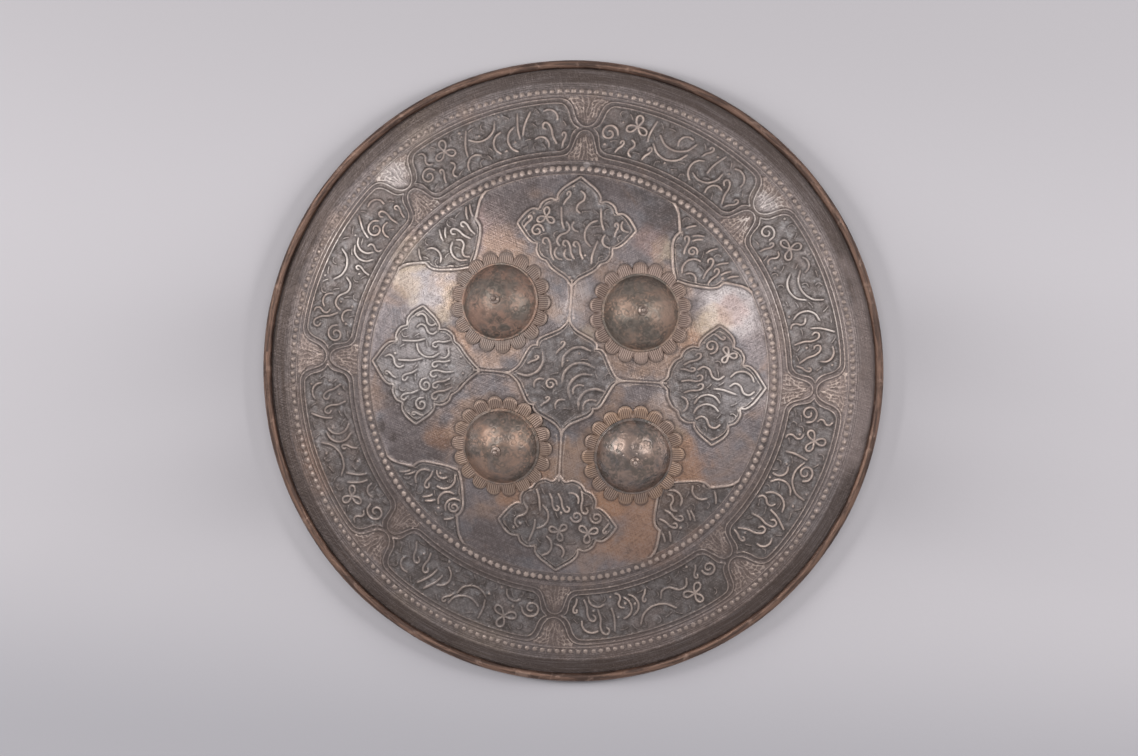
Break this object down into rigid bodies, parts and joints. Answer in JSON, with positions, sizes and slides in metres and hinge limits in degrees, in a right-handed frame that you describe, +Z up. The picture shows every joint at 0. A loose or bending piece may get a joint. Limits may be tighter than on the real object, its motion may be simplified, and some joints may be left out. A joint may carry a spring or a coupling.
{
  "type": "buckler shield",
  "caption": "Round domed shield of chased sheet brass with a rolled rim and riveted bosses on scalloped rosettes, hollow behind.",
  "frame": {"origin": "on the ground under the middle of the shield, which lies face up on its rim", "axes": "+Z up out of the face, +Y towards the top of the shield as it is hung, +X to its right seen from the front"},
  "size_m": [0.4398, 0.4398, 0.0708],
  "materials": {
    "shell": "burnished sheet with a grey-lilac and copper patina, dark in the chased ground",
    "rosette": "rubbed petals with copper-pink high spots and dark hatching",
    "boss": "mottled brown and grey, polished by wear near the top",
    "rivet": "rubbed bright on the finial, dull on the hammered head"
  },
  "bodies": {
    "root": {"shell": "shell", "rosette_upper_left": "rosette", "rosette_upper_right": "rosette", "rosette_lower_right": "rosette", "rosette_lower_left": "rosette", "boss_upper_left": "boss", "boss_upper_right": "boss", "boss_lower_right": "boss", "boss_lower_left": "boss", "rivet_upper_left": "rivet", "rivet_upper_right": "rivet", "rivet_lower_right": "rivet", "rivet_lower_left": "rivet"}
  },
  "joints": []
}
